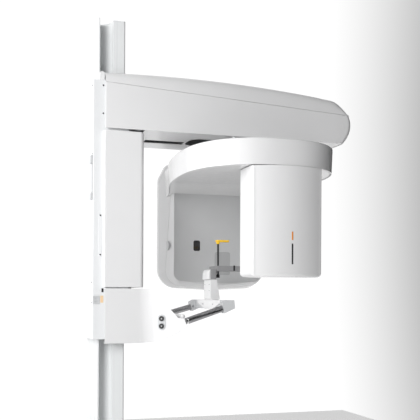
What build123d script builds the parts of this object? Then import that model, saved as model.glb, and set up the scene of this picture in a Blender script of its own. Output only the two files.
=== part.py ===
from build123d import *
import math
import os

# Panoramic dental x-ray machine. Millimetres, +Z up, +X from the column out along the arm.
# Origin: on the floor under the column. The patient stands at about X = 500, facing the column (-X).

# ---- driving dimensions ---------------------------------------------------------------------
COLUMN_TOP = 2250
BASE_T = 14                       # floor plate
COL_REAR, COL_FRONT = -70, 37     # column section, along X
FLANGE_HALF, BODY_HALF = 95, 85   # column half widths, along Y
COVE_R = 50
COL_WALL = 5

CH_REAR, CH_HALF, CH_T = -94, 115, 3          # sheet channel of the carriage
CH_BOTTOM, CH_TOP = 1047, 2010
FRONT_X, FRONT_T = 43, 12                     # welded front plate of the carriage
FRONT_END = FRONT_X + FRONT_T

ARM_HALF = 131                                # half width of both arms and the column cover
ARM_REAR, ARM_NOSE = -50, 982
ARM_BOTTOM = 1830
CREASE_Z, CREASE_SLOPE = 1999, -0.0548        # seam between arm side and top cover
TOP_HALF = 94                                 # flat top of the arm, half width
WALL = 3                                      # cover wall

COVER_FRONT, COVER_BOTTOM, COVER_TOP = 101, 1241, 1822

LOW_TOP, LOW_BOTTOM, LOW_TIP = 1236, 1032, 250
FLARE_X, FLARE_HALF = 110, 203                # where the lower arm widens, and its half width at the tip

AXIS_X = 530                                  # rotation axis of the gantry
RING_BOTTOM, RING_TOP = 1668, 1761
RING_X, RING_A, RING_B, RING_Y0, RING_N = 534, 293, 261, -130, 2.4   # near end of the ring, a superellipse
RING_REAR_B = 500                             # half length of the ellipse that narrows the ring to the rear
HUB_R, BEARING_GAP = 44, 0.05

PANEL_Y, HOUSING_Y, HOUSING_BACK = 165, 215, 385
HOUSING_HALF, HOUSING_BOTTOM, HOUSING_TOP = 249, 1239, 1797
WHEEL = (312, 200, 1428)                      # centre of the laser wheel
LIP_HALF = 229                                # half width of the tubehead at its seam
PANEL_HALF, PANEL_BOTTOM, PANEL_TOP = 206, 1266, 1666

SENSOR_X, SENSOR_HALF, SENSOR_BOTTOM = 555, 137, 1277   # the sensor sits off the axis
SENSOR_Y, SENSOR_EDGE_Y, SENSOR_SPLIT_Y, SENSOR_INNER_Y = -391, -366, -300, -262

BAR_HALF, BLOCK_L = 178, 27                   # patient bar: half length and end block length
TUBE_R, TUBE_WALL = 12.5, 2
TUBE_FOOT = (250, -190, 1117)                 # where the near grip tube leaves the lower arm
TUBE_HEAD = (394, -165, 1160)                 # where it enters the bar

BITE_X = 455
PLATE_ON_FLARE = 2                            # button plate stands this far proud

os.makedirs("parts", exist_ok=True)


# ---- helpers --------------------------------------------------------------------------------
def save(name, shape):
    export_step(shape, "parts/" + name + ".step")


def block(x0, x1, y0, y1, z0, z1):
    return Pos((x0 + x1) / 2, (y0 + y1) / 2, (z0 + z1) / 2) * Box(x1 - x0, y1 - y0, z1 - z0)


def prism_y(points, y0, y1):
    """Side outline of (x, z) points, swept from y0 to y1."""
    face = make_face(Polyline(*[(x, y0, z) for x, z in points], close=True))
    return extrude(face, amount=y1 - y0, dir=(0, 1, 0))


def prism_x(points, x0, x1):
    """Outline of (y, z) points, swept from x0 to x1."""
    face = make_face(Polyline(*[(x0, y, z) for y, z in points], close=True))
    return extrude(face, amount=x1 - x0, dir=(1, 0, 0))


def prism_z(points, z0, z1):
    face = make_face(Polyline(*[(x, y, z0) for x, y in points], close=True))
    return extrude(face, amount=z1 - z0, dir=(0, 0, 1))


def rod(start, end, radius):
    """Round bar between two points."""
    a, b = Vector(start), Vector(end)
    plane = Plane(origin=a, z_dir=(b - a).normalized())
    return extrude(plane * Circle(radius), amount=(b - a).length)


def cyl_z(x, y, z0, z1, radius):
    return Pos(x, y, (z0 + z1) / 2) * Cylinder(radius, z1 - z0)


def mirror_y(shape):
    return mirror(shape, about=Plane.XZ)


def group(shapes):
    return Compound(children=[s for part in shapes for s in part.solids()])


# ---- column and base ------------------------------------------------------------------------
def column_section():
    body = Pos((COL_REAR + COL_FRONT) / 2, 0) * Rectangle(COL_FRONT - COL_REAR, 2 * BODY_HALF)
    body = fillet(body.vertices().sort_by(Axis.X)[-2:], 7)
    flange_t = 6
    section = body + Pos(COL_REAR + flange_t / 2, 0) * Rectangle(flange_t, 2 * FLANGE_HALF)
    cove_x = COL_REAR + flange_t + 3
    for side in (-1, 1):
        circle = Pos(cove_x, side * BODY_HALF) * Circle(COVE_R)
        window_x0 = COL_REAR + flange_t
        window = Pos((window_x0 + cove_x + COVE_R) / 2, side * (BODY_HALF - COVE_R / 2 + 5))
        window = window * Rectangle(cove_x + COVE_R - window_x0, COVE_R + 10)
        section -= circle & window
    return section


def column_profile():
    """Extruded column with a cove down each side and a slot in front for the lift lug."""
    top, bottom = COLUMN_TOP - 6, BASE_T
    solid = extrude(Pos(0, 0, bottom) * column_section(), amount=top - bottom)
    cavity = block(COL_REAR + 8, COL_FRONT - COL_WALL, -29, 29, bottom, top)
    cavity += block(-8, COL_FRONT - COL_WALL, -BODY_HALF + COL_WALL, BODY_HALF - COL_WALL, bottom, top)
    cavity += cyl_z(-24, 0, bottom, top, 36)
    slot = block(COL_FRONT - 8, COL_FRONT + 5, -17, 17, 890, 1790)
    foot = block(-110, 90, -125, 125, BASE_T, BASE_T + 10)
    foot = fillet(foot.edges().filter_by(Axis.Z), 15)
    return solid + foot - cavity - slot


def column_cap():
    return extrude(Pos(0, 0, COLUMN_TOP - 6) * column_section(), amount=6)


def base_plate():
    plate = block(-170, 560, -270, 270, 0, BASE_T)
    plate = fillet(plate.edges().filter_by(Axis.Z), 30)
    for x in (-130, 130):
        for y in (-220, 220):
            plate -= cyl_z(x, y, -1, BASE_T + 1, 7)
    return chamfer(plate.faces().sort_by(Axis.Z)[-1].edges(), 4)


def foot_bolts():
    """Four hexagon bolts that hold the column's foot flange to the floor plate."""
    bolts = []
    for x in (-92, 64):
        for y in (-108, 108):
            washer = cyl_z(x, y, BASE_T + 10, BASE_T + 12, 12)
            bolts.append(washer + Pos(x, y, BASE_T + 12) * extrude(RegularPolygon(10, 6), amount=8))
    return group(bolts)


def lift_actuator():
    """Outer tube of the lift actuator, with a guide gland at its top."""
    tube = cyl_z(-24, 0, BASE_T, 898, 24) - cyl_z(-24, 0, 30, 900, 19)
    gland = cyl_z(-24, 0, 868, 898, 19) - cyl_z(-24, 0, 860, 900, 15.06)
    return tube + gland


def lift_motor():
    body = cyl_z(12, 52, BASE_T + 30, BASE_T + 150, 17)
    return body + block(-6, 26, 27, 60, BASE_T, BASE_T + 30)


# ---- carriage -------------------------------------------------------------------------------
def carriage_channel():
    """Bent sheet channel round the back and both sides of the column."""
    outer = block(CH_REAR, FRONT_X, -CH_HALF, CH_HALF, CH_BOTTOM, CH_TOP)
    outer = fillet(outer.edges().filter_by(Axis.Z).group_by(Axis.X)[0], 3)
    inner = block(CH_REAR + CH_T, FRONT_X + 1, -CH_HALF + CH_T, CH_HALF - CH_T, CH_BOTTOM - 1, CH_TOP + 1)
    part = outer - inner
    # connector cut-out and cable slot on the near side and rear
    part -= block(-92, -67, -CH_HALF - 1, -CH_HALF + CH_T + 1, 1178, 1208)
    part -= block(CH_REAR - 1, CH_REAR + CH_T + 0.5, -112, -96, 1597, 1690)
    return part


def carriage_frame():
    """Welded front plate with the lift lug and the lower arm's bracket."""
    part = block(FRONT_X, FRONT_END, -CH_HALF, CH_HALF, CH_BOTTOM, CH_TOP)
    part += block(-24, FRONT_X, -12, 12, 1525, 1560)
    part -= cyl_z(-24, 0, 1500, 1600, 10)
    part += block(-36, -24, -12, 12, 1525, 1560) - cyl_z(-24, 0, 1500, 1600, 10)
    part += block(FRONT_END, 186, -90, -82, 1070, 1120) + block(FRONT_END, 186, 82, 90, 1070, 1120)
    part += block(180, 186, -90, 90, 1070, 1112)
    return part


def lift_rod():
    return cyl_z(-24, 0, 645, 1525, 15) + cyl_z(-24, 0, 1525, 1568, 10)


def carriage_pads():
    """Eight glide pads between the channel and the column."""
    gap = 0.3
    pads = []
    for z in (1075, 1890):
        for side in (-1, 1):
            inner, outer = sorted((side * (FLANGE_HALF + gap), side * (CH_HALF - CH_T)))
            pads.append(block(-76, -58, inner, outer, z, z + 70))
            inner, outer = sorted((side * (BODY_HALF + gap), side * (CH_HALF - CH_T)))
            pads.append(block(2, 26, inner, outer, z, z + 70))
    return group(pads)


def top_guards():
    """Rounded end guards on the two upper corners of the channel."""
    guards = []
    for side in (-1, 1):
        y0, y1 = sorted((side * 98, side * CH_HALF))
        guard = block(-70, ARM_REAR, y0, y1, CH_TOP, CH_TOP + 33)
        top = guard.edges().filter_by(Axis.Y).group_by(Axis.Z)[-1]
        guards.append(fillet(top, 9))
    return group(guards)


def service_hatch():
    hatch = block(-72, -60, -CH_HALF - 1.5, -CH_HALF, 1353, 1514)
    return fillet(hatch.edges().filter_by(Axis.Y), 3)


def connector_plate():
    """Grey plate in the channel with two sockets, one above the other."""
    plate = block(-95 + 4, -67, -CH_HALF - 2, -CH_HALF + 3, 1178.2, 1207.8)
    for z in (1184, 1196):
        plate -= block(-86, -72, -CH_HALF - 3, -CH_HALF + 1, z, z + 6)
    return plate


def cable_clamp():
    """Saddle clamps at both ends of the cable slot in the rear sheet."""
    x1 = CH_REAR
    clamps = []
    for z0, z1 in ((1700, 1730), (1566, 1590)):
        clamp = block(x1 - 9, x1, -114, -92, z0, z1)
        clamp = fillet(clamp.edges().filter_by(Axis.Y).group_by(Axis.X)[0], 4)
        clamps.append(clamp)
    return group(clamps)


def cable_cover():
    """Slim cover strip over the rear cable slot."""
    strip = block(CH_REAR - 3, CH_REAR, -113, -95, 1592, 1698)
    return fillet(strip.edges().filter_by(Axis.X), 4)


def cover_screws():
    """Pan-head screws of the channel, hatch, patient bar and chin post."""
    screws = []
    head = 3.2
    for z in (1183, 1258, 1737, 1990):
        screws.append(rod((CH_REAR - 2, -105, z), (CH_REAR, -105, z), head))
    for x, z in ((-66, 1507), (-66, 1361)):
        screws.append(rod((x, -CH_HALF - 3.2, z), (x, -CH_HALF - 1.5, z), head))
    for x, z in ((-56, 1886), (-56, 1990)):
        screws.append(rod((x, -CH_HALF - 1.6, z), (x, -CH_HALF, z), head))
    for y in (-49, 49):
        screws.append(rod((409, y, 1177), (411, y, 1177), head))
    for y in (-22, 22):
        for z in (1232, 1256):
            screws.append(rod((406.6, y, z), (408, y, z), 2))
    return group(screws)


def column_cover():
    """Box cover in front of and beside the column."""
    outer = block(ARM_REAR - 2, COVER_FRONT, -ARM_HALF, ARM_HALF, COVER_BOTTOM, COVER_TOP)
    outer = fillet(outer.edges().filter_by(Axis.Z).group_by(Axis.X)[-1], 17)
    rims = outer.faces().sort_by(Axis.Z)
    outer = fillet(rims[0].edges().filter_by(Axis.X) + rims[-1].edges().filter_by(Axis.X), 2.5)
    inner = block(ARM_REAR + 1, COVER_FRONT - WALL, -ARM_HALF + WALL, ARM_HALF - WALL,
                  COVER_BOTTOM + WALL, COVER_TOP - WALL)
    inner = fillet(inner.edges().filter_by(Axis.Z).group_by(Axis.X)[-1], 14)
    passage = block(ARM_REAR - 3, FRONT_END, -CH_HALF, CH_HALF, COVER_BOTTOM - 1, COVER_TOP + 1)
    return outer - inner - passage


# ---- upper arm ------------------------------------------------------------------------------
def crease(x):
    return CREASE_Z + CREASE_SLOPE * (x + 37)


def arm_side_face(inset):
    """Side outline of the arm, with its crowned top and rounded nose, set in by a wall."""
    z0 = ARM_BOTTOM - 1 if inset else ARM_BOTTOM
    rear, nose = ARM_REAR, ARM_NOSE - inset
    crown = ThreePointArc((rear, 0, 2046 - inset), (420, 0, 2053 - inset), (905, 0, 2017 - inset))
    front = Spline((905, 0, 2017 - inset), (962 - inset, 0, 1965 - inset / 2), (nose, 0, 1918),
                   (946 - inset, 0, z0), tangents=[(1, 0, -0.15), (-0.5, 0, -1)])
    rest = Polyline((946 - inset, 0, z0), (rear, 0, z0), (rear, 0, 2046 - inset))
    return make_face([crown, front, rest])


def arm_section(inset):
    """Cross-section of the arm at its rear: flat sides up to the crease, then rounded shoulders."""
    x, half, z = -100, ARM_HALF - inset, crease(-100) - inset
    top = TOP_HALF - inset
    sides = []
    for side in (-1, 1):
        sides.append(ThreePointArc((x, side * half, z), (x, side * (half - 9), z + 40), (x, side * top, z + 66)))
    low = Polyline((x, -half, z), (x, -half, 1700), (x, half, 1700), (x, half, z))
    high = Polyline((x, -top, z + 66), (x, -top, z + 200), (x, top, z + 200), (x, top, z + 66))
    return make_face([low, high] + sides)


def arm_body(inset):
    """Closed form of the arm: its side outline between the sides and shoulders of the section."""
    half = ARM_HALF + 10
    outline = extrude(Pos(0, -half, 0) * arm_side_face(inset), amount=2 * half, dir=(0, 1, 0))
    return outline & extrude(arm_section(inset), amount=1200, dir=(1, 0, CREASE_SLOPE))


def above_crease(gap):
    """Everything over the crease plane, raised by a gap."""
    x0, x1 = -200, 1200
    return prism_y([(x0, crease(x0) + gap), (x1, crease(x1) + gap), (x1, 2400), (x0, 2400)], -200, 200)


def column_passage():
    """Room for the channel and, above it, for the column."""
    low = block(-200, FRONT_END, -CH_HALF, CH_HALF, ARM_BOTTOM - 5, CH_TOP + 1)
    return low + block(-200, FRONT_X, -FLANGE_HALF - 4, FLANGE_HALF + 4, CH_TOP, 2300)


def arm_hollow():
    rear_lip = block(ARM_REAR - 1, ARM_REAR + WALL, -200, 200, ARM_BOTTOM - 5, 2300)
    return arm_body(WALL) - rear_lip


def upper_arm_shell():
    """Lower side cover of the arm, open below."""
    shell = arm_body(0) - arm_hollow() - above_crease(0) - column_passage()
    return shell


def upper_arm_top():
    """Top cover of the arm, with the notch that the column runs in."""
    top = (arm_body(0) & above_crease(0.6)) - arm_hollow() - column_passage()
    return top


def arm_underside():
    """Underside panel with the cable slot and the opening that the rotation hub moves in."""
    panel = block(COVER_FRONT + 2, 938, -ARM_HALF + WALL, ARM_HALF - WALL, ARM_BOTTOM, ARM_BOTTOM + 3)
    panel -= block(145, 312, 6, 48, ARM_BOTTOM - 1, ARM_BOTTOM + 4)
    opening = block(318, 740, -54, 54, ARM_BOTTOM - 1, ARM_BOTTOM + 4)
    return panel - fillet(opening.edges().filter_by(Axis.Z), 40)


def arm_frame():
    """Two box rails with a root plate, rod carriers and an end plate, welded."""
    z0, z1 = 1840, 1930
    part = block(FRONT_END, FRONT_END + 8, -118, 118, z0, z1 + 20)
    for side in (-1, 1):
        y0, y1 = sorted((side * 82, side * 122))
        part += block(FRONT_END + 8, 900, y0, y1, z0, z1)
        part -= block(FRONT_END + 8, 901, y0 + 4, y1 - 4, z0 + 4, z1 - 4)
    part += block(900, 906, -118, 118, z0, z1)
    for x in (340, 800):
        part += block(x, x + 8, -82, 82, 1896, z1)
    for side in (-1, 1):
        part -= rod((335, side * 60, 1914), (812, side * 60, 1914), 8)
    return part


def stage_rods():
    return group([rod((336, y, 1914), (812, y, 1914), 8) for y in (-60, 60)])


# ---- stage that carries the rotation ----------------------------------------------------------
def stage_plate():
    plate = block(AXIS_X - 100, AXIS_X + 170, -74, 74, 1884, 1892)
    for side in (-1, 1):
        for x in (AXIS_X - 95, AXIS_X + 115):
            plate += block(x, x + 45, side * 60 - 13, side * 60 + 13, 1892, 1929)
        plate -= rod((400, side * 60, 1914), (740, side * 60, 1914), 8.06)
    return plate - cyl_z(AXIS_X, 0, 1880, 1895, 56) - cyl_z(AXIS_X + 125, 0, 1880, 1895, 7)


def rotation_bearing():
    """Bearing housing under the stage plate, bolted through its flange."""
    outer = cyl_z(AXIS_X, 0, 1854, 1884, 62)
    return outer - cyl_z(AXIS_X, 0, 1850, 1890, HUB_R + BEARING_GAP)


def rotation_motor():
    body = block(AXIS_X + 97, AXIS_X + 153, -28, 28, 1892, 1965)
    body = fillet(body.edges().filter_by(Axis.Z), 6)
    return body - cyl_z(AXIS_X + 125, 0, 1890, 1912, 5.06)


def motor_pulley():
    x = AXIS_X + 125
    return cyl_z(x, 0, 1838, 1848, 15) + cyl_z(x, 0, 1848, 1911, 5)


def drive_belt():
    """Toothed belt from the motor pulley round the hub pulley, as its closed band."""
    big, small, gap, thick = 70.1, 15.1, 125, 1.6
    lean = math.acos((big - small) / gap)

    def loop(extra):
        rb, rs = big + extra, small + extra
        cx, sx = math.cos(lean), math.sin(lean)
        up = Line((rb * cx, rb * sx), (gap + rs * cx, rs * sx))
        round_small = ThreePointArc((gap + rs * cx, rs * sx), (gap + rs, 0), (gap + rs * cx, -rs * sx))
        down = Line((gap + rs * cx, -rs * sx), (rb * cx, -rb * sx))
        round_big = ThreePointArc((rb * cx, -rb * sx), (-rb, 0), (rb * cx, rb * sx))
        return make_face([up, round_small, down, round_big])
    return Pos(AXIS_X, 0, 1839) * extrude(loop(thick) - loop(0), amount=8)


# ---- gantry ---------------------------------------------------------------------------------
def hub_shaft():
    """Hollow hub: flange on the bearing, belt pulley, and flange on the gantry frame."""
    part = cyl_z(AXIS_X, 0, 1722, 1893, HUB_R) + cyl_z(AXIS_X, 0, 1884.3, 1893, 52)
    part += cyl_z(AXIS_X, 0, 1838, 1848, 70) + cyl_z(AXIS_X, 0, 1722, 1730, 80)
    return part - cyl_z(AXIS_X, 0, 1700, 1900, 30)


def ring_rear_half(y):
    """Half width of the ring behind its widest place, where it narrows gently."""
    return RING_A * math.sqrt(1 - ((y - RING_Y0) / RING_REAR_B) ** 2)


def ring_face(inset):
    """Plan of the ring: a superellipse at the near end that narrows to the rear."""
    a, b = RING_A - inset, RING_B - inset
    angles = [math.radians(d) for d in (0, 12, 28, 45, 62, 78, 90)]

    def point(t, side):
        return (RING_X + side * a * math.cos(t) ** (2 / RING_N),
                RING_Y0 - b * math.sin(t) ** (2 / RING_N))
    left = [point(t, -1) for t in angles]
    right = [point(t, 1) for t in reversed(angles[:-1])]
    curve = Spline(*(left + right), tangents=[(0, -1), (0, 1)])
    back = PANEL_Y - inset
    half, middle = ring_rear_half(back) - inset, (RING_Y0 + back) / 2
    right_side = ThreePointArc(right[-1], (RING_X + ring_rear_half(middle) - inset, middle), (RING_X + half, back))
    left_side = ThreePointArc((RING_X - half, back), (RING_X - ring_rear_half(middle) + inset, middle), left[0])
    return make_face([curve, right_side, Line((RING_X + half, back), (RING_X - half, back)), left_side])


def frame_window():
    """Passage of the gantry frame from the ring into the tubehead."""
    return block(428, 632, PANEL_Y - 10, HOUSING_Y + 10, 1708, 1724)


def ring_shell():
    outer = extrude(Pos(0, 0, RING_BOTTOM) * ring_face(0), amount=RING_TOP - RING_BOTTOM)
    inner = extrude(Pos(0, 0, RING_BOTTOM - 1) * ring_face(WALL), amount=RING_TOP - RING_BOTTOM - WALL + 1)
    return outer - inner - cyl_z(AXIS_X, 0, RING_TOP - 10, RING_TOP + 1, HUB_R + 3) - frame_window()


def ring_underside():
    plate = extrude(Pos(0, 0, RING_BOTTOM) * ring_face(WALL + 0.2), amount=4)
    return plate - block(470, 590, -346, -333, RING_BOTTOM - 1, RING_BOTTOM + 5)


def gantry_frame():
    """Steel frame inside the ring with a hanger at each end."""
    frame = block(430, 630, -343, 232, 1710, 1722)
    frame -= cyl_z(AXIS_X, 0, 1700, 1730, 30)
    frame += block(475, 585, -343, -335, 1420, 1710)
    frame += block(430, 630, 224, 232, 1290, 1710)
    frame -= block(538, 562, 220, 236, 1312, 1392)
    return frame


def housing_points(half, bottom, top, corner, shoulder):
    x0, x1 = AXIS_X - half, AXIS_X + half
    return [(x0 + corner, bottom), (AXIS_X, bottom - 14), (x1 - corner, bottom), (x1, bottom + corner),
            (x1, top - shoulder), (x1 - shoulder, top), (x0 + shoulder, top), (x0, top - shoulder),
            (x0, bottom + corner)]


def housing_outline(y, half, bottom, top, corner, shoulder):
    """Front outline of the tubehead at one depth: dished bottom edge, cut upper corners."""
    p = [(x, y, z) for x, z in housing_points(half, bottom, top, corner, shoulder)]
    belly = ThreePointArc(p[0], p[1], p[2])
    k = corner * (1 - math.sqrt(0.5))
    right = ThreePointArc(p[2], (p[3][0] - k, y, p[2][2] + k), p[3])
    left = ThreePointArc(p[8], (p[8][0] + k, y, p[0][2] + k), p[0])
    return make_face([belly, right, Polyline(*p[3:9]), left])


HOUSING = (HOUSING_HALF, HOUSING_BOTTOM + 14, HOUSING_TOP, 78, 64)
PANEL = (PANEL_HALF, PANEL_BOTTOM + 8, PANEL_TOP, 34, 1)


def tubehead_plan(inset):
    """Plan of the tubehead behind its seam: it widens a little, then rounds over to a domed back."""
    shape = [(LIP_HALF, HOUSING_Y), (241, 238), (HOUSING_HALF, 262), (237, 298), (205, 337), (150, 366), (75, 381)]
    across, along = 1 - inset / HOUSING_HALF, 1 - inset / (HOUSING_BACK - HOUSING_Y)
    right = [(x * across, HOUSING_Y + (y - HOUSING_Y) * along) for x, y in shape]
    points = [(AXIS_X + x, y) for x, y in right] + [(AXIS_X, HOUSING_Y + (HOUSING_BACK - HOUSING_Y) * along)]
    points += [(AXIS_X - x, y) for x, y in reversed(right)]
    return make_face([Spline(*points), Line(points[-1], points[0])])


def tubehead_body(inset):
    half, bottom, top, corner, shoulder = HOUSING
    face = housing_outline(HOUSING_Y, half - inset, bottom + inset, top - inset, corner, shoulder)
    front = extrude(face, amount=HOUSING_BACK - HOUSING_Y, dir=(0, 1, 0))
    return front & extrude(Pos(0, 0, 1100) * tubehead_plan(inset), amount=900)


def tubehead_rear_shell():
    """Rear cover of the tubehead, open to the front."""
    shell = tubehead_body(0) - tubehead_body(4)
    opening = block(AXIS_X - LIP_HALF + 4, AXIS_X + LIP_HALF - 4, HOUSING_Y - 1, HOUSING_Y + 5,
                    HOUSING_BOTTOM + 60, HOUSING_TOP - 70)
    return shell - opening


def tubehead_bezel():
    """White front frame that slopes from the rear cover's edge to the grey panel, open at the top."""
    bottom, corner = HOUSING[1], HOUSING[3]
    outer = housing_outline(HOUSING_Y, LIP_HALF, bottom, RING_BOTTOM, corner - 8, 1)
    inner = housing_outline(PANEL_Y, PANEL_HALF + 3, PANEL_BOTTOM + 5, RING_BOTTOM, 37, 1)
    frame = loft([outer, inner])
    ph, pb, pt, pc, ps = PANEL
    opening = extrude(housing_outline(PANEL_Y - 5, ph, pb, RING_BOTTOM + 20, pc, ps), amount=60, dir=(0, 1, 0))
    x, y, z = WHEEL
    wheel_slot = block(x - 9, x + 9, PANEL_Y - 5, HOUSING_Y + 5, z - 23, z + 23)
    pin_hole = Pos(x + 12, y, z) * Rot(0, 90, 0) * Cylinder(3.06, 14)
    return frame - opening - wheel_slot - pin_hole


def tubehead_cap():
    """Filler between the ring and the rear cover, above the front frame."""
    near = ring_rear_half(PANEL_Y)
    outline = [(RING_X - near, PANEL_Y), (RING_X + near, PANEL_Y), (AXIS_X + LIP_HALF, HOUSING_Y),
               (AXIS_X - LIP_HALF, HOUSING_Y)]
    part = extrude(Pos(0, 0, RING_BOTTOM) * make_face(Polyline(*outline, close=True)), amount=RING_TOP - RING_BOTTOM)
    return part - frame_window()


def tubehead_panel():
    """Grey front panel with openings for the beam window and the positioning light."""
    ph, pb, pt, pc, ps = PANEL
    gap = 0.4
    panel = extrude(housing_outline(PANEL_Y, ph - gap, pb + gap, pt - gap, pc, ps), amount=4, dir=(0, 1, 0))
    panel -= collimator_window(0.3)
    return panel - laser_window(0.3)


def collimator_window(gap=0):
    part = block(513 - gap, 585 + gap, PANEL_Y - 0.5, PANEL_Y + 3, 1302 - gap, 1402 + gap)
    return fillet(part.edges().filter_by(Axis.Y), 9)


def laser_window(gap=0):
    part = block(414 - gap, 444 + gap, PANEL_Y - 0.5, PANEL_Y + 3, 1405 - gap, 1450 + gap)
    return fillet(part.edges().filter_by(Axis.Y), 8)


def laser_wheel():
    """Knurled wheel with a waist, on its own pin, that tilts the positioning light."""
    x, y, z = WHEEL
    wheel = Pos(x, y, z) * Rot(0, 90, 0) * Cylinder(20, 14)
    wheel -= Pos(x, y, z) * Rot(0, 90, 0) * (Cylinder(21, 5) - Cylinder(15, 5))
    return wheel + Pos(x + 6, y, z) * Rot(0, 90, 0) * Cylinder(3, 20)


def xray_tube_housing():
    body = Pos(550, 288, 1352) * Rot(0, 90, 0) * Cylinder(56, 240)
    return fillet(body.edges(), 12)


def collimator():
    body = block(515, 583, PANEL_Y + 4, 224, 1304, 1400)
    return body - block(546, 552, PANEL_Y, 230, 1316, 1388)


def hv_generator():
    body = block(400, 660, 232, 350, 1440, 1640)
    return fillet(body.edges().filter_by(Axis.Z), 14)


def sensor_plan(inset, half, y_split):
    x0, x1 = SENSOR_X - half + inset, SENSOR_X + half - inset
    edge = SENSOR_EDGE_Y + inset
    arc = ThreePointArc((x0, edge), (SENSOR_X, SENSOR_Y + inset), (x1, edge))
    return make_face([arc, Polyline((x1, edge), (x1, y_split), (x0, y_split), (x0, edge))])


def sensor_outer_shell():
    """Outer cover of the sensor, curved about the rotation axis."""
    height = RING_BOTTOM - SENSOR_BOTTOM
    base = Pos(0, 0, SENSOR_BOTTOM)
    outer = extrude(base * sensor_plan(0, SENSOR_HALF, SENSOR_SPLIT_Y), amount=height)
    corners = outer.edges().filter_by(Axis.Y).group_by(Axis.Z)[0]
    outer = fillet(corners, 20)
    inner = extrude(Pos(0, 0, SENSOR_BOTTOM + WALL) * sensor_plan(WALL, SENSOR_HALF, SENSOR_SPLIT_Y + 1),
                    amount=height - WALL + 1)
    inner = fillet(inner.edges().filter_by(Axis.Y).group_by(Axis.Z)[0], 17)
    return outer - inner


def sensor_inner_shell():
    """Flat inner cover of the sensor, facing the patient."""
    half, bottom = SENSOR_HALF - 1, SENSOR_BOTTOM + 2
    outer = block(SENSOR_X - half, SENSOR_X + half, SENSOR_SPLIT_Y, SENSOR_INNER_Y, bottom, RING_BOTTOM)
    outer = fillet(outer.edges().filter_by(Axis.Z).group_by(Axis.Y)[-1], 12)
    inner = block(SENSOR_X - half + WALL, SENSOR_X + half - WALL, SENSOR_SPLIT_Y - 1, SENSOR_INNER_Y - WALL,
                  bottom + WALL, RING_BOTTOM + 1)
    return outer - inner


def detector_panel():
    return block(AXIS_X - 30, AXIS_X + 30, -332, -306, 1330, 1600)


# ---- lower arm ------------------------------------------------------------------------------
def flare_y(x):
    """Half width of the lower arm where it widens."""
    return ARM_HALF + (x - FLARE_X) * (FLARE_HALF - ARM_HALF) / (LOW_TIP - FLARE_X)


def low_plan(inset):
    x0 = ARM_REAR
    pts = [(x0, -ARM_HALF + inset), (FLARE_X, -ARM_HALF + inset), (LOW_TIP - inset, -FLARE_HALF + inset),
           (LOW_TIP - inset, FLARE_HALF - inset), (FLARE_X, ARM_HALF - inset), (x0, ARM_HALF - inset)]
    face = make_face(Polyline(*pts, close=True))
    bends = [v for v in face.vertices() if abs(v.X - FLARE_X) < 1]
    return fillet(bends, 120)


def low_side(inset):
    """Side outline of the lower arm: flat top, sloping front, ledge, and belly curve."""
    top, bottom = LOW_TOP - inset, LOW_BOTTOM + inset
    front = Polyline((ARM_REAR, bottom), (ARM_REAR, top), (126 - inset / 2, top),
                     (216 - inset / 2, 1128 - inset), (LOW_TIP - inset, 1124 - inset), (LOW_TIP - inset, 1096 + inset))
    belly = Spline((LOW_TIP - inset, 1096 + inset), (181, 1052 + inset), (30, bottom), tangents=[(-1, -0.72), (-1, 0)])
    return make_face([front, belly, Line((30, bottom), (ARM_REAR, bottom))])


def low_body(inset):
    plan = extrude(Pos(0, 0, 1000) * low_plan(inset), amount=260)
    face = Plane.XZ * low_side(inset)
    side = extrude(Pos(0, -220, 0) * face, amount=440, dir=(0, 1, 0))
    return plan & side


def lower_arm_shell():
    """Cover of the lower arm with its widened tip."""
    outer = low_body(0)
    slope_top = [e for e in outer.edges().filter_by(Axis.Y) if abs(e.center().Z - LOW_TOP) < 0.1
                 and e.center().X > 100]
    outer = fillet(slope_top, 24)
    shell = outer - low_body(4) + (front_bead() - low_body(0))
    shell -= block(-200, FRONT_END, -CH_HALF, CH_HALF, 1000, 1300)
    for side in (-1, 1):
        shell -= grip_solid(side)
    return shell


def mirrored(point, side):
    """A point of the near side (1), or its mirror image on the far side (-1)."""
    return (point[0], side * point[1], point[2])


def grip_axis(side):
    """Ends of a grip tube, run on into its two sockets."""
    a, b = Vector(*mirrored(TUBE_FOOT, side)), Vector(*mirrored(TUBE_HEAD, side))
    along = (b - a).normalized()
    return a - along * 12, b + along * 20


def grip_solid(side):
    a, b = grip_axis(side)
    return rod(a, b, TUBE_R)


def grip_tube(side):
    a, b = grip_axis(side)
    return rod(a, b, TUBE_R) - rod(a, b, TUBE_R - TUBE_WALL)


def front_bead():
    """Round bead moulded across the ledge of the lower arm."""
    bar = rod((236, -186, 1133.5), (236, 186, 1133.5), 8)
    return fillet(bar.edges().filter_by(GeomType.CIRCLE), 6)


def flare_plane(z):
    """Plane on the widened near side, at the buttons."""
    x = 161
    y = -flare_y(x)
    angle = math.atan2(FLARE_HALF - ARM_HALF, LOW_TIP - FLARE_X)
    normal = (-math.sin(angle), -math.cos(angle), 0)
    return Plane(origin=(x, y, z), x_dir=(math.cos(angle), -math.sin(angle), 0), z_dir=normal)


BUTTON_Z = (1124.5, 1096.5)
BUTTON_R = 9.5


def button_plate():
    """Oval plate with two round bezels."""
    middle = sum(BUTTON_Z) / 2
    plane = flare_plane(middle)
    plate = extrude(plane * SlotOverall(58, 31, rotation=90), amount=PLATE_ON_FLARE)
    for z in BUTTON_Z:
        bezel = flare_plane(z)
        plate += extrude(bezel * Circle(12), amount=4.5)
    for z in BUTTON_Z:
        plate -= extrude(flare_plane(z) * Circle(BUTTON_R + 0.4), amount=6)
    return plate


def push_button(z):
    face = flare_plane(z)
    lifted = Plane(origin=face.origin + face.z_dir * 2.6, x_dir=face.x_dir, z_dir=face.z_dir)
    cap = extrude(lifted * Circle(BUTTON_R), amount=4.4)
    return fillet(cap.faces().sort_by(Axis((0, 0, 0), face.z_dir))[-1].edges(), 1.5)


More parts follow.
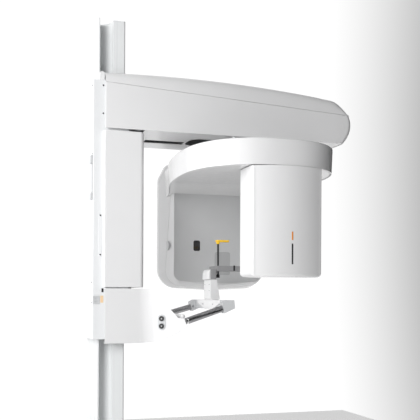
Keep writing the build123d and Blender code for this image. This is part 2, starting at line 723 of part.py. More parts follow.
# ---- patient bar, chin rest and bite block -----------------------------------------------------
def crossbar():
    """Patient bar: two end blocks on the grip tubes, and the bar between them."""
    section = [(394, 1184), (413, 1194), (444, 1194), (447, 1163), (404, 1144)]
    near = prism_y(section, -BAR_HALF, -BAR_HALF + BLOCK_L)
    bar = block(417, 444, -BAR_HALF + BLOCK_L, BAR_HALF - BLOCK_L, 1158, 1194)
    part = near + bar + mirror_y(near)
    for side in (-1, 1):
        part -= grip_solid(side)
    return part


def crossbar_cover():
    """White cover plate on the column side of the bar, deeper in the middle."""
    half = 112
    outline = [(-half, 1194), (half, 1194), (half, 1180), (40, 1157), (-40, 1157), (-half, 1180)]
    return prism_x(outline, 411, 417)


def chin_post():
    """Tapered post on the bar."""
    foot, top = 1194, 1276
    return prism_y([(408, foot + 4), (450, foot + 4), (436, top), (408, top)], -33, 33) \
        + block(411, 444, -36, 36, foot, foot + 4)


def chin_bracket():
    part = block(411, 434, -33, 33, 1276, 1318)
    return part + block(434, 446, -20, 20, 1300, 1311)


def chin_bracket_cap():
    """White rounded cap on the column side of the chin bracket."""
    cap = prism_y([(399, 1276), (411, 1276), (411, 1318), (404, 1313), (400, 1302)], -30, 30)
    return cap


def chin_tray():
    """Chin rest: a shallow tray with raised edges, on the bracket."""
    tray = block(434.2, 590, -40, 40, 1311, 1331)
    tray = fillet(tray.edges().filter_by(Axis.Z).group_by(Axis.X)[-1], 24)
    inner = block(438, 586, -36, 36, 1316, 1335)
    inner = fillet(inner.edges().filter_by(Axis.Z).group_by(Axis.X)[-1], 20)
    return tray - inner - cyl_z(BITE_X, 0, 1300, 1340, 4.06)


def tray_clip():
    """Small black spring clip on the near edge of the tray."""
    return block(504, 510, -43, -40, 1311, 1333)


def bite_rod():
    part = cyl_z(BITE_X, 0, 1284, 1430, 4)
    return part + cyl_z(BITE_X, 0, 1284, 1297, 7)


def bite_piece():
    """Bite block: a socket on the rod and a flat, grooved tongue."""
    socket = cyl_z(BITE_X, 0, 1422, 1432, 7) - cyl_z(BITE_X, 0, 1410, 1430, 4.05)
    tongue = block(446, 501, -11, 11, 1430, 1438)
    tongue = fillet(tongue.edges().filter_by(Axis.Z), 6)
    groove = block(486, 491, -12, 12, 1436, 1440) + block(486, 491, -12, 12, 1428, 1431.5)
    return socket + tongue - groove


NODES = {
    "base_plate": base_plate, "foot_bolts": foot_bolts,
    "column_profile": column_profile, "column_cap": column_cap,
    "lift_actuator": lift_actuator, "lift_motor": lift_motor,
    "carriage_channel": carriage_channel, "carriage_frame": carriage_frame, "lift_rod": lift_rod,
    "carriage_pads": carriage_pads, "top_guards": top_guards, "service_hatch": service_hatch,
    "connector_plate": connector_plate, "cable_clamp": cable_clamp, "cable_cover": cable_cover,
    "cover_screws": cover_screws, "column_cover": column_cover,
    "upper_arm_shell": upper_arm_shell, "upper_arm_top": upper_arm_top, "arm_underside": arm_underside,
    "arm_frame": arm_frame, "stage_rods": stage_rods,
    "stage_plate": stage_plate, "rotation_bearing": rotation_bearing, "rotation_motor": rotation_motor,
    "motor_pulley": motor_pulley, "drive_belt": drive_belt,
    "hub_shaft": hub_shaft, "ring_shell": ring_shell, "ring_underside": ring_underside,
    "gantry_frame": gantry_frame, "tubehead_rear_shell": tubehead_rear_shell,
    "tubehead_bezel": tubehead_bezel, "tubehead_cap": tubehead_cap, "tubehead_panel": tubehead_panel,
    "collimator_window": collimator_window, "laser_window": laser_window, "laser_wheel": laser_wheel,
    "xray_tube_housing": xray_tube_housing, "collimator": collimator, "hv_generator": hv_generator,
    "sensor_outer_shell": sensor_outer_shell, "sensor_inner_shell": sensor_inner_shell,
    "detector_panel": detector_panel,
    "lower_arm_shell": lower_arm_shell, "button_plate": button_plate,
    "crossbar": crossbar, "crossbar_cover": crossbar_cover, "chin_post": chin_post,
    "chin_bracket": chin_bracket, "chin_bracket_cap": chin_bracket_cap, "chin_tray": chin_tray,
    "tray_clip": tray_clip, "bite_rod": bite_rod, "bite_piece": bite_piece,
}

for name, make in NODES.items():
    save(name, make())
for side, name in ((1, "grip_tube_near"), (-1, "grip_tube_far")):
    save(name, grip_tube(side))
for z, name in zip(BUTTON_Z, ("up_button", "down_button")):
    save(name, push_button(z))
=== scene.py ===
import bmesh
import bpy
import math
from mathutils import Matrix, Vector


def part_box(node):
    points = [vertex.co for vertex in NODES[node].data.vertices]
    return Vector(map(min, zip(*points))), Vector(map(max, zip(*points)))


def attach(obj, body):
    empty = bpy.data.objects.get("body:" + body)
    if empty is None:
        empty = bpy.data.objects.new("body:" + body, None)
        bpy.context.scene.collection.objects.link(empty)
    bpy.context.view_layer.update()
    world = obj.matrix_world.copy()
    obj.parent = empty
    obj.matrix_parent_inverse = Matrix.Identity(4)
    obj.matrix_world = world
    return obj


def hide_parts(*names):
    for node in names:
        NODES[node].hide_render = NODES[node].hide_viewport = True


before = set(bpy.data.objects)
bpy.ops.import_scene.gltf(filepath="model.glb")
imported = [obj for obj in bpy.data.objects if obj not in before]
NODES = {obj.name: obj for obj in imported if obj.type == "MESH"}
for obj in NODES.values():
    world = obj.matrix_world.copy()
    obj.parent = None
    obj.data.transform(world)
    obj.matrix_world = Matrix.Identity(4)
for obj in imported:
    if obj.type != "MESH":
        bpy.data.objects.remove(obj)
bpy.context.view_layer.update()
SCENE = bpy.context.scene

# ---- places taken from the frame (metres) --------------------------------------------------
ARM_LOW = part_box("upper_arm_shell")[0]
RING_LOW, RING_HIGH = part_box("ring_shell")
REAR_LOW, REAR_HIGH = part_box("tubehead_rear_shell")
PANEL_LOW, PANEL_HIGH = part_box("tubehead_panel")
SENSOR_LOW, SENSOR_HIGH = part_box("sensor_outer_shell")
AXIS_X = sum(corner[0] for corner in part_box("hub_shaft")) / 2
RING_X = (RING_LOW[0] + RING_HIGH[0]) / 2
SENSOR_X = (SENSOR_LOW[0] + SENSOR_HIGH[0]) / 2

# ---- driving dimensions of the covers (metres) ---------------------------------------------
SHEET = 0.003                  # wall of a moulded cover
ARM_HALF = 0.131
CREASE_DROP = -0.0548          # fall of the arm's seam per metre
NOSE_R = 0.022
RING_N, RING_Y0 = 2.4, -0.130   # near end of the ring, a superellipse behind which it narrows
RING_REAR_B = 0.500
TOP_FILLET = 0.006
PANEL_Y = PANEL_LOW[1]
SEAM_Y = REAR_LOW[1]
SENSOR_BULGE = 0.025           # the front face is this much further back at its sides
JOINT_GAP = 0.0012             # between the sensor covers, and between them and the ring


# ---- mesh helpers ---------------------------------------------------------------------------
def new_piece(name, verts, faces, body, material, replaces=()):
    """A smooth-shaded mesh piece that rides on a body."""
    mesh = bpy.data.meshes.new(name)
    mesh.from_pydata([tuple(v) for v in verts], [], faces)
    mesh.validate()
    bm = bmesh.new()
    bm.from_mesh(mesh)
    bmesh.ops.remove_doubles(bm, verts=bm.verts, dist=1e-6)
    bmesh.ops.recalc_face_normals(bm, faces=bm.faces)
    bm.to_mesh(mesh)
    bm.free()
    for polygon in mesh.polygons:
        polygon.use_smooth = True
    mesh.materials.append(material)
    piece = bpy.data.objects.new(name, mesh)
    SCENE.collection.objects.link(piece)
    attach(piece, body)
    if replaces:
        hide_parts(*replaces)
    return piece


def grid_faces(rows, columns, wrap=False, skip=None):
    """Quads between neighbouring rows of a grid of points."""
    faces = []
    last = columns if wrap else columns - 1
    for r in range(rows - 1):
        for c in range(last):
            if skip and skip(r, c):
                continue
            d = (c + 1) % columns
            faces.append((r * columns + c, r * columns + d, (r + 1) * columns + d, (r + 1) * columns + c))
    return faces


def skin(name, rows, body, material, replaces=(), wrap=False, skip=None, cap_last=False,
         wall=0.0, outward=None, edge=0.0012):
    """A surface through rows of points, given a wall on its inner side and softened rims."""
    columns = len(rows[0])
    verts = [p for row in rows for p in row]
    faces = grid_faces(len(rows), columns, wrap, skip)
    if cap_last:
        faces.append(tuple((len(rows) - 1) * columns + c for c in range(columns)))
    piece = new_piece(name, verts, faces, body, material, replaces)
    if outward:
        face_outward(piece, outward)
    if wall:
        solid = piece.modifiers.new("wall", "SOLIDIFY")
        solid.thickness = wall
        solid.offset = -1
    if edge:
        soften(piece, edge, 2)
    return piece


def face_outward(piece, inside):
    """Turns every normal away from a point that is inside the cover."""
    mesh = piece.data
    middle = Vector(inside)
    outflow = sum((face.center - middle).dot(face.normal) * face.area for face in mesh.polygons)
    if outflow < 0:
        mesh.flip_normals()


def soften(piece, width, segments, angle=38):
    """Rounds the hard edges of a piece."""
    bevel = piece.modifiers.new("soft_edges", "BEVEL")
    bevel.width = width
    bevel.segments = segments
    bevel.limit_method = "ANGLE"
    bevel.angle_limit = math.radians(angle)
    bevel.harden_normals = True
    bevel.use_clamp_overlap = True


def finish_node(name, material, width=0.0008, segments=2, angle=32):
    """Gives a CAD node its material, merges its facets into whole faces and rounds its edges."""
    node = NODES[name]
    node.data.materials.clear()
    node.data.materials.append(material)
    if width:
        weld = node.modifiers.new("weld", "WELD")
        weld.merge_threshold = 2e-6
        merge = node.modifiers.new("whole_faces", "DECIMATE")
        merge.decimate_type = "DISSOLVE"
        merge.angle_limit = math.radians(0.3)
        soften(node, width, segments, angle)


def rounded_loop(corners, per_corner=8, per_edge=6):
    """Closed 2-D outline through corners given as (u, v, radius), each rounded by an arc."""
    count = len(corners)
    arcs = []
    for i in range(count):
        p = Vector(corners[i][:2])
        a = (Vector(corners[i - 1][:2]) - p).normalized()
        b = (Vector(corners[(i + 1) % count][:2]) - p).normalized()
        radius = corners[i][2]
        half = a.angle(b) / 2
        reach = radius / math.tan(half)
        centre = p + (a + b).normalized() * (radius / math.sin(half))
        start, end = p + a * reach - centre, p + b * reach - centre
        turn = start.angle_signed(end) if radius > 0 else 0
        arc = []
        for k in range(per_corner):
            t = -turn * k / (per_corner - 1)
            arc.append(centre + Vector((start.x * math.cos(t) - start.y * math.sin(t),
                                        start.x * math.sin(t) + start.y * math.cos(t))))
        arcs.append(arc)
    loop = []
    for i in range(count):
        loop.extend(arcs[i])
        a, b = arcs[i][-1], arcs[(i + 1) % count][0]
        loop.extend(a.lerp(b, k / per_edge) for k in range(1, per_edge))
    return loop


def spread(low, high, steps):
    """Evenly spaced values from low to high, ends included."""
    return [low + (high - low) * k / steps for k in range(steps + 1)]


# ---- materials ------------------------------------------------------------------------------
PLASTIC_IOR = 1.5
COAT_ROUGHNESS = 0.06
NOISE_LOW, NOISE_HIGH = 0.3, 0.7    # where a noise texture has most of its values


def new_material(name, color, roughness, metallic=0.0, coat=0.0):
    """A Principled material, returned with its shader node."""
    material = bpy.data.materials.new(name)
    material.use_nodes = True
    shader = material.node_tree.nodes["Principled BSDF"]
    shader.inputs["Base Color"].default_value = (*color, 1)
    shader.inputs["Roughness"].default_value = roughness
    shader.inputs["Metallic"].default_value = metallic
    shader.inputs["IOR"].default_value = PLASTIC_IOR
    shader.inputs["Coat Weight"].default_value = coat
    shader.inputs["Coat Roughness"].default_value = COAT_ROUGHNESS
    return material, shader


def texture_space(material, scale, rotation):
    """Object coordinates, scaled and turned for a texture."""
    nodes, links = material.node_tree.nodes, material.node_tree.links
    place = nodes.new("ShaderNodeTexCoord")
    mapping = nodes.new("ShaderNodeMapping")
    mapping.inputs["Scale"].default_value = scale
    mapping.inputs["Rotation"].default_value = rotation
    links.new(place.outputs["Object"], mapping.inputs["Vector"])
    return mapping.outputs["Vector"]


def noise_map(material, space, scale, detail):
    nodes, links = material.node_tree.nodes, material.node_tree.links
    texture = nodes.new("ShaderNodeTexNoise")
    texture.inputs["Scale"].default_value = scale
    texture.inputs["Detail"].default_value = detail
    links.new(space, texture.inputs["Vector"])
    return texture.outputs["Fac"]


def ramp(material, value, low, high):
    """Stretches a noise value over low..high."""
    nodes, links = material.node_tree.nodes, material.node_tree.links
    node = nodes.new("ShaderNodeMapRange")
    node.inputs["From Min"].default_value = NOISE_LOW
    node.inputs["From Max"].default_value = NOISE_HIGH
    node.inputs["To Min"].default_value = low
    node.inputs["To Max"].default_value = high
    links.new(value, node.inputs["Value"])
    return node.outputs["Result"]


def vary_color(material, shader, value, first, second):
    """Lets the base colour drift between two near tones."""
    nodes, links = material.node_tree.nodes, material.node_tree.links
    mix = nodes.new("ShaderNodeMix")
    mix.data_type = "RGBA"
    mix.inputs["A"].default_value = (*first, 1)
    mix.inputs["B"].default_value = (*second, 1)
    links.new(value, mix.inputs["Factor"])
    links.new(mix.outputs["Result"], shader.inputs["Base Color"])


def relief(material, shader, value, strength, distance):
    """Fine bump from a height value."""
    nodes, links = material.node_tree.nodes, material.node_tree.links
    bump = nodes.new("ShaderNodeBump")
    bump.inputs["Strength"].default_value = strength
    bump.inputs["Distance"].default_value = distance
    links.new(value, bump.inputs["Height"])
    links.new(bump.outputs["Normal"], shader.inputs["Normal"])


def surface(name, color, roughness, spread_color=0.02, spread_rough=0.05, grain=900, depth=0.00004,
            strength=0.25, metallic=0.0, coat=0.0, scale=(1, 1, 1), rotation=(0, 0, 0), patch=5.0):
    """A finish with slow colour drift, uneven gloss and a fine relief."""
    material, shader = new_material(name, color, roughness, metallic, coat)
    space = texture_space(material, scale, rotation)
    drift = noise_map(material, space, patch, 2.0)
    fine = noise_map(material, space, grain, 3.0)
    lighter = tuple(min(1.0, c * (1 + spread_color)) for c in color)
    darker = tuple(c * (1 - spread_color) for c in color)
    vary_color(material, shader, ramp(material, drift, 0, 1), darker, lighter)
    gloss = ramp(material, noise_map(material, space, patch * 9, 4.0), roughness - spread_rough,
                 roughness + spread_rough)
    material.node_tree.links.new(gloss, shader.inputs["Roughness"])
    relief(material, shader, fine, strength, depth)
    return material


def brushed(name, color, rotation, roughness=0.3):
    """Steel with fine lines along one direction."""
    return surface(name, color, roughness, 0.18, 0.09, grain=260, depth=0.00003, strength=0.5, metallic=1.0,
                   scale=(0.06, 4.0, 4.0), rotation=rotation, patch=40)


TUBE_LOW, TUBE_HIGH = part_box("grip_tube_near")
TUBE_D, TUBE_END = 0.025, 0.008    # tube diameter, and the length its slanted ends add
TUBE_TILT = math.atan2(TUBE_HIGH[2] - TUBE_LOW[2] - TUBE_D, TUBE_HIGH[0] - TUBE_LOW[0] - TUBE_END)

WHITE = surface("moulded_white", (0.83, 0.83, 0.835), 0.2, 0.008, 0.05, 700, 0.00002, 0.12, coat=0.35)
WHITE_SOFT = surface("moulded_white_satin", (0.80, 0.80, 0.805), 0.33, 0.01, 0.05, 1400, 0.00003, 0.2,
                     coat=0.1)
PAINT = surface("powder_coat_white", (0.80, 0.81, 0.82), 0.42, 0.012, 0.05, 1600, 0.00005, 0.35)
COLUMN = surface("anodised_white", (0.80, 0.815, 0.82), 0.30, 0.02, 0.05, 300, 0.00002, 0.3,
                 scale=(2.0, 2.0, 0.05))
GREY = surface("grained_grey", (0.60, 0.605, 0.61), 0.46, 0.03, 0.06, 1800, 0.00006, 0.5)
# Darker copy of the grained grey: its darkness is painted shade for the chin bracket and the chin tray.
GREY_WITH_PAINTED_SHADE = surface("grained_grey_with_painted_shade", (0.27, 0.27, 0.275), 0.46, 0.03, 0.06, 1800, 0.00006, 0.5)
WINDOW = surface("window_grey", (0.47, 0.475, 0.48), 0.34, 0.02, 0.04, 900, 0.00002, 0.2)
LENS = surface("dark_lens", (0.012, 0.012, 0.014), 0.12, 0.1, 0.03, 500, 0.00001, 0.1, coat=0.6)
LIGHT = surface("satin_light_grey", (0.62, 0.63, 0.64), 0.38, 0.015, 0.06, 1500, 0.00005, 0.3)
BLACK = surface("black_moulding", (0.016, 0.016, 0.017), 0.42, 0.15, 0.08, 1500, 0.00005, 0.4)
YELLOW = surface("medical_yellow", (0.93, 0.58, 0.03), 0.38, 0.05, 0.06, 700, 0.00004, 0.3)
STEEL = surface("turned_steel", (0.52, 0.52, 0.53), 0.24, 0.08, 0.06, 500, 0.00002, 0.3, metallic=1.0)
TUBE = brushed("brushed_tube", (0.40, 0.40, 0.41), (0, TUBE_TILT, 0))
ZINC = surface("zinc_plate", (0.58, 0.59, 0.6), 0.36, 0.12, 0.1, 240, 0.00003, 0.3, metallic=1.0, patch=60)
DARK_STEEL = surface("black_steel", (0.05, 0.05, 0.055), 0.45, 0.12, 0.08, 1200, 0.00006, 0.4)
ALLOY = surface("cast_alloy", (0.62, 0.63, 0.64), 0.42, 0.08, 0.08, 800, 0.00008, 0.5, metallic=1.0)
RUBBER = surface("belt_rubber", (0.02, 0.02, 0.021), 0.65, 0.2, 0.08, 900, 0.00006, 0.5)
ACETAL = surface("acetal", (0.78, 0.77, 0.72), 0.4, 0.03, 0.06, 900, 0.00003, 0.3)
LABEL = surface("pale_orange_label", (0.86, 0.62, 0.38), 0.5, 0.04, 0.05, 900, 0.00002, 0.2)
ACCENT = surface("orange_inlay", (0.80, 0.30, 0.05), 0.35, 0.05, 0.05, 900, 0.00002, 0.2)
INK = surface("dark_inlay", (0.03, 0.03, 0.032), 0.35, 0.1, 0.05, 900, 0.00002, 0.2)


# ---- upper arm ------------------------------------------------------------------------------
ARM_REAR, ARM_BOTTOM = ARM_LOW[0], ARM_LOW[2]
NOSE_X = 0.982
NOSE_FOOT, NOSE_LEAN, NOSE_BEND = 0.946, 0.9531, -6.182    # front outline over the arm's bottom
CREASE_X, CREASE_Z = -0.037, 1.999                         # a point on the seam between the covers
CROWN_Z, CROWN_RISE, CROWN_BEND = 2.0487, 0.04942, -0.09332
ARM_STRAIGHT_END = 0.90        # front end of the side cover's flat sides
ARM_MIDDLE = 0.45
COVER_GAP = 0.0006             # top cover over the side cover


def crease(x):
    """Height of the seam between side cover and top cover."""
    return CREASE_Z + CREASE_DROP * (x - CREASE_X)


def nose_x(z):
    """Front of the arm at a height: it leans forward, rounds over and falls back."""
    u = z - ARM_BOTTOM
    return NOSE_FOOT + NOSE_LEAN * u + NOSE_BEND * u * u


def crown(x):
    """Height of the arm's top along its middle."""
    return CROWN_Z + CROWN_RISE * x + CROWN_BEND * x * x


def arm_side_cover():
    """One band down the near side, round the nose and back along the far side."""
    rows = []
    for f in spread(0, 1, 12):
        near = [(x, -ARM_HALF, ARM_BOTTOM + f * (crease(x) - ARM_BOTTOM))
                for x in spread(ARM_REAR, ARM_STRAIGHT_END, 24)]
        z = ARM_BOTTOM + f * (crease(NOSE_X - NOSE_R) - ARM_BOTTOM)
        front = nose_x(z)
        near.append((front - NOSE_R, -ARM_HALF, z))
        for k in range(1, 9):
            a = math.radians(90 * k / 8)
            near.append((front - NOSE_R + NOSE_R * math.sin(a), -ARM_HALF + NOSE_R - NOSE_R * math.cos(a), z))
        across = [(front, y, z) for y in spread(-ARM_HALF + NOSE_R, ARM_HALF - NOSE_R, 8)[1:-1]]
        far = [(x, -y, z) for x, y, z in reversed(near)]
        rows.append(near + across + far)
    return skin("arm_side_cover", rows, "carriage", WHITE_SOFT, ["upper_arm_shell"],
                wall=SHEET, outward=(ARM_MIDDLE, 0, 1.90), edge=0.0014)


def catmull(points, t):
    """Smooth curve through points, t from 0 to 1."""
    spans = len(points) - 1
    s = min(int(t * spans), spans - 1)
    u = t * spans - s
    p = [Vector(points[max(0, min(spans, s + k))]) for k in (-1, 0, 1, 2)]
    return 0.5 * ((2 * p[1]) + (p[2] - p[0]) * u + (2 * p[0] - 5 * p[1] + 4 * p[2] - p[3]) * u * u
                  + (3 * p[1] - p[0] - 3 * p[2] + p[3]) * u * u * u)


def arm_top_cover():
    """Crowned cover with rounded shoulders, notched at the rear for the column."""
    power = 2 / 4.2                       # fullness of the superellipse section
    notch_y, notch_x = 0.0995, 0.043
    taper = 0.002                         # the sides lean in by this much
    turn_share = 0.45                     # part of a nose row that goes round its corner
    notch_a = math.acos((notch_y / (ARM_HALF - taper * 0.83)) ** (1 / power))
    angles = sorted(spread(0, math.pi / 2, 18) + [notch_a])
    tip = nose_x(crease(NOSE_X))
    start, corner_x = 0.80, tip - NOSE_R
    outline = [(start, 0, crown(start)), (0.868, 0, crown(0.868)), (0.918, 0, 2.0135), (0.954, 0, 1.983),
               (tip, 0, crease(tip))]

    def half_row(base_x, top, morph):
        """Points from the near seam up to the middle of the section."""
        row = []
        rise = top.z - crease(base_x)
        for a in angles:
            side = math.cos(a) ** power if a < math.pi / 2 - 1e-9 else 0.0
            up = math.sin(a) ** power
            y = -(ARM_HALF - taper * up * (1 - morph)) * side
            x = base_x + (top.x - base_x) * up
            z = crease(x) + rise * up
            if morph > 0:
                share = a / (math.pi / 2)
                turn = min(share / turn_share, 1.0) * math.pi / 2
                rest = max(share - turn_share, 0) / (1 - turn_share)
                end_x = corner_x + NOSE_R * math.sin(turn)
                end_y = -(ARM_HALF - NOSE_R) * (1 - rest) - NOSE_R * math.cos(turn)
                blend = morph ** 6
                x += (end_x - x) * blend
                y += (end_y - y) * blend
                z += (crease(end_x) - z) * blend
            row.append(Vector((x, y, z + COVER_GAP)))
        return row

    def whole(row):
        """A half row and its mirror image, with one point in the middle."""
        return row + [Vector((p.x, -p.y, p.z)) for p in reversed(row[:-1])]

    stations = [ARM_REAR, -0.02, 0.01, notch_x] + spread(notch_x, start, 22)[1:]
    rows = [whole(half_row(x, Vector((x, 0, crown(x))), 0)) for x in stations]
    for k in range(1, 25):
        t = 1 - (1 - k / 24) ** 1.5
        rows.append(whole(half_row(start + (corner_x - start) * t, catmull(outline, t), t)))
    first = angles.index(notch_a)
    last = 2 * (len(angles) - 1) - first

    def in_notch(r, c):
        """True for the faces that the column's notch leaves out."""
        return r < len(stations) and stations[r] < notch_x - 1e-6 and first <= c < last

    return skin("arm_top_cover", rows, "carriage", WHITE_SOFT, ["upper_arm_top"],
                skip=in_notch, wall=SHEET, outward=(ARM_MIDDLE, 0, 1.95), edge=0.0010)


# ---- gantry ---------------------------------------------------------------------------------
RING_BOTTOM, RING_TOP = RING_LOW[2], RING_HIGH[2]
RING_A = (RING_HIGH[0] - RING_LOW[0]) / 2
RING_B = RING_Y0 - RING_LOW[1]
UNDERSIDE_DROP = 0.018         # the ring's lower face dips towards the panel
DIP_Y = 0.03                   # where that dip begins
HUB_HOLE_R = 0.048


def ring_side(y, inset):
    """Left and right edges of the ring behind its widest place."""
    half = RING_A * math.sqrt(1 - ((min(y, PANEL_Y) - RING_Y0) / RING_REAR_B) ** 2) - inset
    blend = max(0.0, y - PANEL_Y) / (SEAM_Y - PANEL_Y)
    lip = SEAM_HALF - inset
    left, right = RING_X - half, RING_X + half
    return left + (AXIS_X - lip - left) * blend, right + (AXIS_X + lip - right) * blend


def ring_outline(inset):
    """Plan of the ring: a superellipse at the near end that narrows into the tubehead."""
    a, b = RING_A - inset, RING_B - inset
    near = []
    for k in range(65):
        t = math.pi * k / 64
        c, s = math.cos(t), math.sin(t)
        x = RING_X + math.copysign(abs(c) ** (2 / RING_N), c) * a
        near.append((x, RING_Y0 - abs(s) ** (2 / RING_N) * b))
    back = SEAM_Y + 0.012
    depths = spread(RING_Y0, back, 22)[1:]
    left = [(ring_side(y, inset)[0], y) for y in depths]
    x0, x1 = ring_side(back, inset)
    across = [(x, back) for x in spread(x0, x1, 16)[1:]]
    right = [(ring_side(y, inset)[1], y) for y in reversed(depths[:-1])]
    return near + left + across + right


def ring_bottom(y):
    """Height of the ring's lower edge: level, then dipping towards the panel."""
    share = min(max((y - DIP_Y) / (PANEL_Y - DIP_Y), 0.0), 1.35)
    return RING_BOTTOM - UNDERSIDE_DROP * share ** 1.6


def ring_cover():
    """Deep glossy ring with a soft upper edge and a hole for the hub."""
    rows = []
    for f in spread(0, 1, 8):
        draft = 0.003 * (1 - f)
        rows.append([(x, y, ring_bottom(y) + (RING_TOP - TOP_FILLET - ring_bottom(y)) * f)
                     for x, y in ring_outline(draft)])
    for k in range(1, 7):
        a = math.radians(15 * k)
        inset = TOP_FILLET * (1 - math.cos(a))
        z = RING_TOP - TOP_FILLET + TOP_FILLET * math.sin(a)
        rows.append([(x, y, z) for x, y in ring_outline(inset)])
    edge = ring_outline(TOP_FILLET)
    for share in (0.35, 0.7, 1.0):
        row = []
        for x, y in edge:
            d = Vector((x - AXIS_X, y))
            p = d.lerp(d.normalized() * HUB_HOLE_R, share)
            row.append((AXIS_X + p.x, p.y, RING_TOP))
        rows.append(row)
    return skin("ring_cover", rows, "gantry", WHITE, ["ring_shell", "tubehead_cap"], wrap=True,
                wall=SHEET, outward=(AXIS_X, 0, RING_BOTTOM), edge=0.0007)


def ring_lower_cover():
    """Lower face of the ring, set just inside the band and dipping with it towards the panel."""
    outline = ring_outline(0.0065)
    centre = Vector((RING_X, -0.05))
    rows = []
    for share in (1.0, 0.985, 0.9, 0.75, 0.55, 0.35, 0.15):
        row = []
        for x, y in outline:
            p = centre.lerp(Vector((x, y)), share)
            row.append((p.x, p.y, ring_bottom(p.y) + (0.0012 if share < 0.99 else 0.0022)))
        rows.append(row)
    return skin("ring_lower_cover", rows, "gantry", WHITE, ["ring_underside"], wrap=True,
                cap_last=True, wall=0.0025, outward=(AXIS_X, 0, RING_BOTTOM + 0.05), edge=0)


# stations of the tubehead from the panel's edge to the back:
# half width, y, lower edge, upper edge, corner radius
SEAM_HALF = 0.229
TUBEHEAD = [(0.2075, PANEL_Y, 1.2735, 1.664, 0.036), (0.218, 0.190, 1.261, 1.716, 0.056),
            (SEAM_HALF, SEAM_Y, 1.2535, 1.760, 0.078), (0.240, 0.238, 1.2495, 1.786, 0.084),
            (0.2485, 0.262, 1.248, REAR_HIGH[2], 0.088), (0.238, 0.298, 1.252, 1.795, 0.088),
            (0.207, 0.337, 1.268, 1.780, 0.082), (0.155, 0.366, 1.300, 1.745, 0.066),
            (0.098, 0.380, 1.345, 1.700, 0.048), (0.050, 0.3835, 1.390, 1.655, 0.030)]
SPANS = len(TUBEHEAD) - 1
SEAM_FOOT = 1.30               # height under which the seam runs straight up


def tubehead_loop(t):
    """Outline of the tubehead at one station, t from 0 at the panel to 1 at the back."""
    shape = catmull([(half, y, low) for half, y, low, high, r in TUBEHEAD], t)
    upper = catmull([(high, r, 0) for half, y, low, high, r in TUBEHEAD], t)
    half, y, low = shape
    high, r = upper.x, upper.y
    grow = min(t * SPANS / 3, 1.0)
    cut_x, cut_z = 0.004 + 0.034 * grow, 0.004 + 0.068 * grow
    if t > 0.5:
        cut_x, cut_z = min(cut_x, half * 0.5), min(cut_z, (high - low) * 0.25)
    round_r = 0.004 + 0.036 * grow * min(1.0, half / 0.15)
    dish = 0.013 * min(1.0, half / 0.2)
    corners = [(-half, low, r), (0, low - dish, 0.9), (half, low, r), (half, high - cut_z, round_r),
               (half - cut_x, high, round_r), (-half + cut_x, high, round_r), (-half, high - cut_z, round_r)]
    return [(AXIS_X + p.x, y, p.y) for p in rounded_loop(corners, 12, 6)]


def tubehead_seam(z):
    """Station of the seam: it runs forwards as it climbs."""
    climb = min(max((z - SEAM_FOOT) / (RING_BOTTOM - SEAM_FOOT), 0.0), 1.0)
    return (2.0 - 1.25 * climb) / SPANS


def tubehead_rows(start, end, steps):
    """Rows of the tubehead's skin between two stations, each given as a function of height."""
    count = len(tubehead_loop(0))
    base = tubehead_loop(2 / SPANS)
    rows = []
    for k in range(steps + 1):
        f = k / steps
        cache = {}
        row = []
        for i in range(count):
            t = start(base[i][2]) + (end(base[i][2]) - start(base[i][2])) * f
            key = round(t, 5)
            if key not in cache:
                cache[key] = tubehead_loop(key)
            row.append(cache[key][i])
        rows.append(row)
    return rows


def tubehead_rear():
    """Rear cover: from the seam it widens a little, rounds over and domes at the back."""
    rows = tubehead_rows(lambda z: tubehead_seam(z) + 0.004, lambda z: 1.0, 34)
    return skin("tubehead_rear_cover", rows, "gantry", WHITE, ["tubehead_rear_shell"],
                wrap=True, cap_last=True, wall=0.0032, outward=(AXIS_X, SEAM_Y + 0.06, 1.5), edge=0.0006)


def tubehead_front_frame():
    """White frame that slopes forwards from the seam and turns in to the grey panel."""
    rows = tubehead_rows(lambda z: tubehead_seam(z) - 0.001, lambda z: 0.0, 12)
    inner = tubehead_loop(0.0)
    lip = 0.0022
    middle = Vector((AXIS_X, 0, (PANEL_LOW[2] + PANEL_HIGH[2]) / 2))
    for pull, forward in ((0.35, 0.0012), (1.0, 0.0016), (1.6, 0.0012), (1.8, -0.008)):
        row = []
        for x, y, z in inner:
            inward = Vector((middle.x - x, 0, middle.z - z)).normalized() * lip * pull
            row.append((x + inward.x, y - forward, z + inward.z))
        rows.append(row)
    return skin("tubehead_front_frame", rows, "gantry", WHITE, ["tubehead_bezel"], wrap=True,
                wall=0.0022, outward=(AXIS_X, SEAM_Y + 0.05, 1.5), edge=0)


def sensor_front(x, inset=0.0):
    """Y of the curved front face at a distance from the sensor's middle."""
    half = (SENSOR_HIGH[0] - SENSOR_LOW[0]) / 2
    return SENSOR_LOW[1] + inset + SENSOR_BULGE * (x / half) ** 2


def sensor_outline(inset, narrow=0.0):
    """Plan of the outer sensor cover: curved front, small crisp corners, flat back."""
    half = (SENSOR_HIGH[0] - SENSOR_LOW[0]) / 2 - inset - narrow
    back = SENSOR_HIGH[1]
    r, corner_depth = 0.009, 0.011
    turn = sensor_front(half - r, inset)
    start = turn + corner_depth
    left = [(-half, y) for y in spread(back, start, 6)[:-1]]
    for k in range(13):
        a = math.radians(90 * k / 12)
        left.append((-half + r * (1 - math.cos(a)), start - corner_depth * math.sin(a)))
    front = [(x, sensor_front(x, inset)) for x in spread(-half + r, half - r, 32)[1:-1]]
    right = [(-x, y) for x, y in reversed(left)]
    rear = [(x, back) for x in reversed(spread(-half, half, 10)[1:-1])]
    return [(SENSOR_X + x, y) for x, y in left + front + right + rear]


